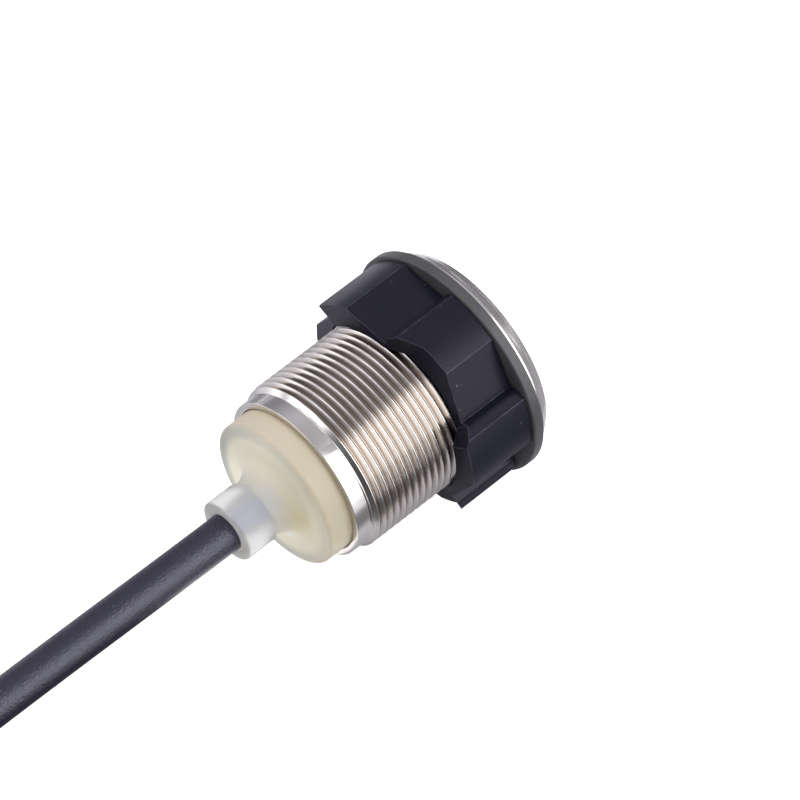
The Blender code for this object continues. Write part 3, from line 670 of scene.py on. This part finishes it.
def make_leads():
    """The four cores side by side on the ground, fanned out, each with its tip."""
    end = ROUTE[-1]
    spread = CABLE_D / 4
    floor = CORE_D / 2
    row_y = HANK_Y + FOLD - CABLE_D / 2 - 0.2 - floor
    leads = []
    for number in range(4):
        turn = math.tau * (number + 0.5) / 4
        y = end.y + spread * math.cos(turn)
        z = end.z + spread * math.sin(turn)
        inward = number * (CORE_D + 0.2)
        fanned = inward + (number + 1) * 0.8
        knots = [
            (end.x - 3.0, y, z),
            (end.x + 0.5, y, z),
            (LEAD_X, row_y - inward, floor),
            (LEAD_X + LEAD_REACH / 3, row_y - inward, floor),
            (LEAD_X + LEAD_REACH * 2 / 3, row_y - (inward + fanned) / 2, floor),
            (LEAD_X + LEAD_REACH, row_y - fanned, floor),
        ]
        line = [Vector((p.x, p.y, max(p.z, floor))) for p in smooth_line(knots, 46)]
        lead = tube(f"core_{number + 1}", line, CORE_D, 16, edge=0.1)
        wear(lead, CORES[number])
        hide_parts(f"lead_{number + 1}")
        leads.append(lead)
        leads.append(make_tip(number, line[-1], (line[-1] - line[-3]).normalized()))
    return leads


def make_tip(number, place, ahead):
    """Seven tinned strands twisted together, 4 mm long."""
    side = ahead.cross(Vector((0, 0, 1))).normalized()
    lift = side.cross(ahead).normalized()

    def out(turn, radius):
        return (side * math.cos(turn) + lift * math.sin(turn)) * radius

    bm = bmesh.new()
    for strand in range(7):
        lay_radius = 0.0 if strand == 0 else 0.24
        rings = []
        for k in range(17):
            along = -0.6 + 4.6 * k / 16
            centre = place + ahead * along + out(math.tau * (strand / 6 + along / 5.0), lay_radius)
            spots = [centre + out(math.tau * j / 6, 0.125) for j in range(6)]
            rings.append([bm.verts.new(spot * MM) for spot in spots])
        for first, second in zip(rings, rings[1:]):
            for j in range(6):
                bm.faces.new([first[j], first[(j + 1) % 6], second[(j + 1) % 6], second[j]])
        bm.faces.new(rings[0])
        bm.faces.new(rings[-1])
    tip = piece_from(f"tinned_tip_{number + 1}", bm)
    wear(tip, TINNED)
    return tip


LEADS = make_leads()


# Floor and light
def make_floor():
    bm = bmesh.new()
    bmesh.ops.create_grid(bm, x_segments=1, y_segments=1, size=3.0)
    floor = piece_from("floor", bm, body=None, smooth=False)
    m = Nodes("floor")
    cloud = m.noise(6.0, 2.0)
    m.link(m.mixed(cloud, (0.62, 0.62, 0.62), (0.65, 0.65, 0.65)), "Base Color")
    m.set(Roughness=0.9, Specular_IOR_Level=0.0)
    m.set(Emission_Color=(1.0, 1.0, 1.0, 1.0), Emission_Strength=0.85)
    floor.data.materials.append(m.material)


def make_light(name, place, aim, size, power, glossy=True, diffuse=True, colour=(1, 1, 1)):
    """A soft light of (width, height) in metres, out of sight of the camera itself."""
    data = bpy.data.lights.new(name, "AREA")
    data.energy = power
    data.color = colour
    data.shape = "RECTANGLE"
    data.size, data.size_y = size
    light = bpy.data.objects.new(name, data)
    light.location = place
    light.rotation_euler = (Vector(aim) - Vector(place)).to_track_quat("-Z", "Y").to_euler()
    light.visible_camera = False
    light.visible_glossy = glossy
    light.visible_diffuse = diffuse
    light.visible_transmission = diffuse
    bpy.context.scene.collection.objects.link(light)
    return light


def make_card(name, corners, stops):
    """A studio card that only reflections see, shaded along Y by (place in mm, shade) stops."""
    bm = bmesh.new()
    bm.faces.new([bm.verts.new(Vector(c) * MM) for c in corners])
    card = piece_from(name, bm, body=None, smooth=False)
    m = Nodes(name)
    low, high = stops[0][0], stops[-1][0]
    across = m.span(m.split()[1], 0.0, 1.0, low * MM, high * MM)
    shades = [((at - low) / (high - low), (shade, shade, 1.06 * shade)) for at, shade in stops]
    cloud = m.noise(20.0, 2.0)
    shade = m.mixed(m.span(cloud, 0.0, 0.1), m.ramp(across, shades), (0.2, 0.2, 0.2))
    m.link(shade, "Base Color")
    m.set(Roughness=1.0, Specular_IOR_Level=0.0)
    card.data.materials.append(m.material)
    card.visible_camera = False
    card.visible_diffuse = False
    card.visible_shadow = False
    card.visible_transmission = False


def floor_card(name, near, far, stops):
    """A card just above the floor, between two corners in mm."""
    (x0, y0), (x1, y1) = near, far
    z = 0.2
    make_card(name, [(x0, y0, z), (x1, y0, z), (x1, y1, z), (x0, y1, z)], stops)


def make_world():
    """A studio dimmer near the horizon than high up; the shade depends on the elevation only."""
    world = bpy.data.worlds.new("studio")
    bpy.context.scene.world = world
    world.use_nodes = True
    tree = world.node_tree
    background = tree.nodes["Background"]
    place = tree.nodes.new("ShaderNodeTexCoord").outputs["Generated"]
    split = tree.nodes.new("ShaderNodeSeparateXYZ")
    tree.links.new(place, split.inputs[0])
    ramp = tree.nodes.new("ShaderNodeValToRGB")
    stops = [(0.0, 0.36), (0.28, 0.35), (0.56, 0.57), (0.77, 0.76), (0.90, 0.66), (1.0, 0.58)]
    while len(ramp.color_ramp.elements) < len(stops):
        ramp.color_ramp.elements.new(0.5)
    for element, (height, shade) in zip(ramp.color_ramp.elements, stops):
        element.position = height
        cool = 0.84 + 0.10 * height
        element.color = (cool * shade, (cool - 0.01) * shade, shade, 1.0)
    tree.links.new(split.outputs["Z"], ramp.inputs["Fac"])
    tree.links.new(ramp.outputs["Color"], background.inputs["Color"])
    background.inputs["Strength"].default_value = 1.0


make_floor()
make_world()
AIM = (0, 0, 0.015)
PALE = (0.97, 0.98, 1.0)
COOL = (0.94, 0.96, 1.0)
make_light("overhead", (0.0, 0.0, 1.3), (0, 0, 0), (1.6, 1.6), 20.0, glossy=False)
make_light("right_box", (0.26, -0.50, 0.345), AIM, (0.60, 0.74), 2.15, colour=PALE)
make_light("left_box", (-0.66, 0.34, 0.27), AIM, (0.64, 0.42), 1.5, colour=COOL)
make_light("right_gloss", (0.255, -0.49, 0.34), AIM, (0.56, 0.60), 1.35, diffuse=False)
LOW_STOPS = [(-130, 0.80), (-56, 0.74), (-50, 0.14), (-25, 0.14), (-21, 0.50), (-4, 0.50)]
RIGHT_STOPS = [(-130, 0.40), (-90, 0.16), (-38, 0.16), (-28, 0.30), (-6, 0.30)]
FAR_STOPS = [(18, 0.40), (34, 0.46), (42, 0.22), (90, 0.20), (500, 0.22)]
floor_card("low_strip", (-16, -130), (32, -4), LOW_STOPS)
floor_card("right_strip", (32, -130), (300, -6), RIGHT_STOPS)
floor_card("rear_flag", (-300, -300), (-16, -14), [(-300, 0.05), (-14, 0.05)])
floor_card("cable_flag", (-300, -14), (-24, 16), [(-14, 0.10), (16, 0.14)])
floor_card("far_flag", (-12, 18), (28, 500), FAR_STOPS)
floor_card("rear_far", (-60, 16), (-12, 110), [(16, 0.45), (60, 0.62), (110, 0.85)])
floor_card("right_far", (28, 18), (60, 500), [(18, 0.62), (500, 0.72)])
floor_card("front_flag", (60, -6), (500, 500), [(-6, 0.60), (8, 0.14), (500, 0.16)])
WALL_FOOT = [(-300, 50, 0), (-300, -60, 0), (-160, -300, 0)]
WALL_TOP = [(x, y, 68) for x, y, z in WALL_FOOT]
make_card("rear_wall", WALL_FOOT[:2] + WALL_TOP[1::-1], [(-60, 0.12), (50, 0.14)])
make_card("rear_wall_end", WALL_FOOT[1:] + WALL_TOP[:0:-1], [(-300, 0.14), (-60, 0.12)])


# Housing: bore, relief, thread and bezel flange, turned in one piece
def housing_thread(phase, along):
    """A V thread with small crest and root flats, run out at both ends."""
    crest = THREAD_R - 0.02
    if phase <= CREST_END:
        radius = crest
    elif phase <= ROOT_START:
        radius = crest - THREAD_DEPTH * (phase - CREST_END) / (ROOT_START - CREST_END)
    elif phase <= ROOT_END:
        radius = crest - THREAD_DEPTH
    else:
        radius = crest - THREAD_DEPTH * (1.0 - phase) / (1.0 - ROOT_END)
    cone = RELIEF_R + (THREAD_R - RELIEF_R) * (along - RELIEF_END) / 0.57
    undercut = UNDERCUT_R if along > BODY_END - 0.9 else THREAD_R
    return min(radius, max(cone, RELIEF_R), undercut)


def make_housing():
    bm = bmesh.new()
    thread_end = BODY_END - 0.02
    thread_faces(bm, RELIEF_END, thread_end, THREAD_STEPS, housing_thread)
    front = [
        (UNDERCUT_R, thread_end, 0),
        (UNDERCUT_R, BODY_END, 0),
        (FLANGE_R, BODY_END, 0.12),
        (FLANGE_R, BODY_END + 0.65, 0.10),
        (13.98, BODY_END + 0.97, 0.03),
        (13.86, BODY_END + 1.00, 0.03),
        (13.60, BODY_END + 1.47, 0.06),
        (13.32, BODY_END + 1.83, 0.03),
        (13.20, BODY_END + 1.86, 0.03),
        (12.80, FLANGE_FRONT, 0.10),
        (RECESS_R, FLANGE_FRONT, 0.12),
        (RECESS_R, RECESS_FLOOR, 0.0),
        (BORE_R, RECESS_FLOOR, 0.05),
        (BORE_R, 0.0, 0.10),
        (RELIEF_R, 0.0, 0.10),
        (RELIEF_R, RELIEF_END, 0.0),
    ]
    lathe_faces(bm, softened(front, 0.1, closed=False), THREAD_STEPS, closed=False)
    housing = piece_from("threaded_housing", bm, sharp=32)
    wear(housing, STEEL)
    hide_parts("housing")


make_housing()


# Gasket with rounded rims and a lip round the flange's edge
def make_gasket():
    seat = FLANGE_R + 0.03
    profile = [
        (GASKET_BORE_R, GASKET_FRONT),
        (seat, GASKET_FRONT, 0),
        (seat, GASKET_LIP, 0.06),
        (GASKET_R, GASKET_LIP, 0.20),
        (GASKET_R, GASKET_REAR, 0.25),
        (GASKET_BORE_R, GASKET_REAR),
    ]
    gasket = lathe("gasket_ring", softened(profile, 0.05, count=6), 192)
    wear(gasket, GASKET)
    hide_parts("panel_gasket")


make_gasket()


# Nut: saw-tooth lobes, raised pads and a moulded inner thread; angles in degrees, radii in mm
LOBES = 6
ARC_START = 6.0
ARC_SPAN = 27.4
ARC_STEPS = 20
FOOT_R = 12.30
FOOT_END = 60.5
FOOT_FACES = 63.4
STEP_POINTS = [(13.20, 61.6), (13.46, 62.3), (13.63, 63.4)]
PADS = 3


def nut_outline():
    """Six lobes, each an arc that ends in a step down to a flat foot, in mm."""
    points = []

    def at(radius, angle):
        turn = math.radians(angle)
        return (radius * math.cos(turn), radius * math.sin(turn))

    foot = FOOT_R / math.cos(math.radians(FOOT_END - FOOT_FACES))
    for k in range(LOBES):
        base = 360.0 / LOBES * k
        start = base + ARC_START
        points += [at(FLANGE_R, start + ARC_SPAN * j / ARC_STEPS) for j in range(ARC_STEPS + 1)]
        points.append(at(foot, base + FOOT_END))
        points += [at(radius, base + angle) for radius, angle in STEP_POINTS]
    return points


def prism(name, outline, low, high):
    """A closed prism over an outline in mm, between two heights, in its own frame."""
    bm = bmesh.new()
    bottom = [bm.verts.new((x * MM, y * MM, low * MM)) for x, y in outline]
    top = [bm.verts.new((x * MM, y * MM, high * MM)) for x, y in outline]
    bm.faces.new(bottom)
    bm.faces.new(top)
    for k in range(len(outline)):
        nxt = (k + 1) % len(outline)
        bm.faces.new([bottom[k], bottom[nxt], top[nxt], top[k]])
    bmesh.ops.recalc_face_normals(bm, faces=bm.faces)
    mesh = bpy.data.meshes.new(name)
    bm.to_mesh(mesh)
    bm.free()
    solid = bpy.data.objects.new(name, mesh)
    bpy.context.scene.collection.objects.link(solid)
    return solid


def recess_wedge(number):
    """A cutter for one of the three recesses between the rear pads: a ramp at each end, leaning out."""
    deep_start, deep_end, ramp_start, ramp_end = 77.0, 120.0, 61.0, 130.0
    inner, reach = 11.2, 14.3
    middle = (inner + reach) / 2
    centre = (deep_start + deep_end) / 2
    depth = 2.2
    lean = math.tan(math.radians(12))

    def across(angle):
        return math.tan(math.radians(angle - centre)) * middle

    outline = [
        (across(deep_start), depth),
        (across(ramp_start) - (across(deep_start) - across(ramp_start)), -depth),
        (across(ramp_end) + (across(ramp_end) - across(deep_end)), -depth),
        (across(deep_end), depth),
    ]
    wedge = prism(f"recess_{number}", outline, 0.0, reach)
    for vertex in wedge.data.vertices:
        sideways, height, out = vertex.co / MM
        lift = (out + middle / 2 - reach) * lean
        vertex.co = Vector((out + middle / 2, sideways, height + lift)) * MM
    wedge.location = (0.0, 0.0, NUT_REAR * MM)
    wedge.rotation_euler.z = math.radians(NUT_TURN + centre + 360.0 / PADS * number)
    return wedge


def cut(item, cutter):
    step = item.modifiers.new(cutter.name, "BOOLEAN")
    step.operation = "DIFFERENCE"
    step.object = cutter
    step.solver = "EXACT"


def bevelled(item, width):
    step = item.modifiers.new("edges", "BEVEL")
    step.width = width * MM
    step.segments = 3
    step.limit_method = "ANGLE"
    step.angle_limit = math.radians(28)


def applied(item, cutters):
    """The item's mesh with its modifiers applied; the item and its cutters are removed."""
    bpy.context.view_layer.update()
    evaluated = item.evaluated_get(bpy.context.evaluated_depsgraph_get())
    mesh = bpy.data.meshes.new_from_object(evaluated)
    place = item.matrix_world.copy()
    for thing in [item, *cutters]:
        bpy.data.objects.remove(thing, do_unlink=True)
    mesh.transform(place)
    return mesh


def nut_thread(phase, along):
    """The nut's inner thread clears the housing's by a little all round and opens at both ends."""
    outer = housing_thread(phase, BODY_END / 2) + LINER_CLEARANCE
    ends = min(along - LINER_START, LINER_END - along)
    return max(outer, 11.25 - max(ends, 0.0))


def mark_edges(mesh):
    """A vertex attribute that is 1 where every face around is a narrow strip of a rounded edge."""
    widest = [0.0] * len(mesh.vertices)
    for face in mesh.polygons:
        spots = [mesh.vertices[index].co for index in face.vertices]
        longest = max((spots[k] - spots[k - 1]).length for k in range(len(spots)))
        width = face.area / max(longest, 1e-9)
        for index in face.vertices:
            widest[index] = max(widest[index], width)
    mark = mesh.attributes.new("edge", "FLOAT", "POINT")
    for index, width in enumerate(widest):
        mark.data[index].value = 1.0 if width < 0.13 * MM else 0.0


def make_nut():
    body = prism("moulded_nut_body", nut_outline(), NUT_REAR, NUT_FRONT)
    body.rotation_euler.z = math.radians(NUT_TURN)
    turns = [math.tau * k / NUT_STEPS for k in range(NUT_STEPS)]
    round_outline = [(NUT_BORE_R * math.cos(turn), NUT_BORE_R * math.sin(turn)) for turn in turns]
    bore = prism("bore", round_outline, 10.0, 30.0)
    cutters = [recess_wedge(number) for number in range(PADS)]
    for wedge in cutters:
        cut(body, wedge)
    cut(body, bore)
    bevelled(body, 0.20)
    mesh = applied(body, [*cutters, bore])
    # From the nut's own frame, with its axis along Z, onto the sensor's axis
    for vertex in mesh.vertices:
        x, y, z = vertex.co
        vertex.co = (RIM_X * MM + z, y, AXIS_Z * MM - x)
    mark_edges(mesh)
    nut = bpy.data.objects.new("moulded_nut", mesh)
    bpy.context.scene.collection.objects.link(nut)
    mesh.shade_smooth()
    mesh.set_sharp_from_angle(angle=math.radians(50))
    weighted = nut.modifiers.new("normals", "WEIGHTED_NORMAL")
    weighted.keep_sharp = True
    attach(nut, "nut")
    wear(nut, NUT)
    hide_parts("panel_nut")

    bm = bmesh.new()
    thread_faces(bm, LINER_START, LINER_END, NUT_STEPS, nut_thread)
    back = [
        (nut_thread(0.0, LINER_END), LINER_END),
        (LINER_R, LINER_END),
        (LINER_R, LINER_START),
        (nut_thread(0.0, LINER_START), LINER_START),
    ]
    lathe_faces(bm, back, NUT_STEPS, closed=False)
    liner = piece_from("nut_thread", bm, "nut", sharp=32)
    wear(liner, NUT)


make_nut()


# Rear plug: head, flared neck and sleeve
def make_plug():
    inner = CABLE_D / 2 + 0.01
    edge = PLUG_EDGE
    flare = NECK_FLARE
    profile = [(inner, 4.0), (PLUG_R, 4.0), (PLUG_R, PLUG_REAR + edge)]
    for k in range(1, 9):
        turn = math.radians(-90 * k / 8)
        along = PLUG_REAR + edge + edge * math.sin(turn)
        profile.append((PLUG_R - edge + edge * math.cos(turn), along))
    for k in range(17):
        turn = math.radians(90 + 90 * k / 16)
        along = PLUG_REAR - flare + flare * math.sin(turn)
        profile.append((NECK_R + flare + flare * math.cos(turn), along))
    sleeve = [
        (NECK_R, PLUG_REAR - flare),
        (NECK_R, SLEEVE_FRONT, 0.08),
        (SLEEVE_R, SLEEVE_FRONT, 0.10),
        (SLEEVE_R, SLEEVE_REAR, 0.28),
        (inner, SLEEVE_REAR, 0.10),
        (inner, SLEEVE_REAR + 2.0),
    ]
    profile += softened(sleeve, 0.1, closed=False)[1:]
    plug = lathe("plug_moulding", profile, 160, sharp=35)
    wear(plug, PLUG)
    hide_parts("rear_plug")


make_plug()


# Touch lens with a finely grooved light ring
def make_lens():
    front, rim, rear = LENS_FRONT, FLANGE_FRONT - 0.95, FLANGE_FRONT - 2.0
    groove = front - 0.06
    outer = RECESS_R - 0.1
    stem = BORE_R - 0.2
    profile = [
        (0.0, front),
        (8.2, front, 0),
        (8.25, groove, 0),
        (9.35, groove, 0),
        (9.4, front, 0),
        (outer, front, 0.25),
        (outer, rim, 0.05),
        (stem, rim, 0),
        (stem, rear, 0.05),
        (0.0, rear),
    ]
    lens = lathe("lens_disc", softened(profile, 0.1, closed=False), 160, closed=False)
    m = Nodes("lens_plastic")
    radius = m.axis_radius()
    outside = m.span(radius, 0.0, 1.0, 0.0081, 0.0083)
    inside = m.span(radius, 1.0, 0.0, 0.0093, 0.0095)
    band = m.maths("MULTIPLY", outside, inside)
    cloud = m.noise(900.0, 3.0)
    tone = m.mixed(cloud, (0.42, 0.43, 0.44), (0.44, 0.45, 0.46))
    m.link(m.mixed(band, tone, (0.62, 0.64, 0.67)), "Base Color")
    m.link(m.span(cloud, 0.26, 0.30), "Roughness")
    m.set(Subsurface_Weight=0.2, Subsurface_Scale=0.001, Specular_IOR_Level=0.35)
    m.bump(m.noise(5000.0, 2.0), 0.000004, 0.3)
    wear(lens, m.material)
    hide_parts("touch_lens")


make_lens()


# Carried-over nodes inside the housing, by material slot: nodes, dark and light tone, roughness, metal
FOUR = range(1, 5)
CHIPS = ["touch_controller", "voltage_regulator", "output_transistor", "protection_diode"]
INNER = {
    "seal_rubber": (["lens_seal"], (0.020,) * 3, (0.035,) * 3, (0.6, 0.8), 0.0),
    "guide_plastic": (["light_guide"], (0.80, 0.84, 0.86), (0.90, 0.92, 0.94), (0.2, 0.35), 0.0),
    "copper": (["electrode_plate"], (0.70, 0.36, 0.20), (0.82, 0.46, 0.28), (0.2, 0.4), 1.0),
    "spring_metal": (["contact_spring"], (0.78, 0.73, 0.58), (0.88, 0.83, 0.68), (0.2, 0.35), 1.0),
    "board_laminate": (
        ["sensor_board", "control_board"], (0.022, 0.13, 0.055), (0.035, 0.18, 0.08), (0.3, 0.5), 0.0
    ),
    "carrier_plastic": (
        ["board_carrier"], (0.040, 0.040, 0.048), (0.060, 0.060, 0.070), (0.4, 0.6), 0.0
    ),
    "chip_plastic": (CHIPS, (0.016,) * 3, (0.028,) * 3, (0.4, 0.6), 0.0),
    "capacitor_body": (
        ["capacitor_1", "capacitor_2"], (0.38, 0.26, 0.16), (0.50, 0.36, 0.23), (0.3, 0.5), 0.0
    ),
    "header_plastic": (["board_header"], (0.022,) * 3, (0.036,) * 3, (0.4, 0.6), 0.0),
    "cast_resin": (["resin_seal"], (0.72, 0.66, 0.44), (0.84, 0.78, 0.56), (0.2, 0.4), 0.0),
    "led_plastic": (
        [f"led_{number}" for number in FOUR], (0.82, 0.82, 0.70), (0.92, 0.92, 0.84), (0.2, 0.35), 0.0
    ),
}


def dress_inner_nodes():
    for slot, (names, dark, light, rough, metallic) in INNER.items():
        material = plain_material(slot, dark, light, rough, metallic)
        for name in names:
            wear(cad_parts[name], material)
    for number, core, (slot, _, _) in zip(FOUR, CORES, CORE_TONES):
        wear(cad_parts[f"conductor_{number}"], core)


dress_inner_nodes()
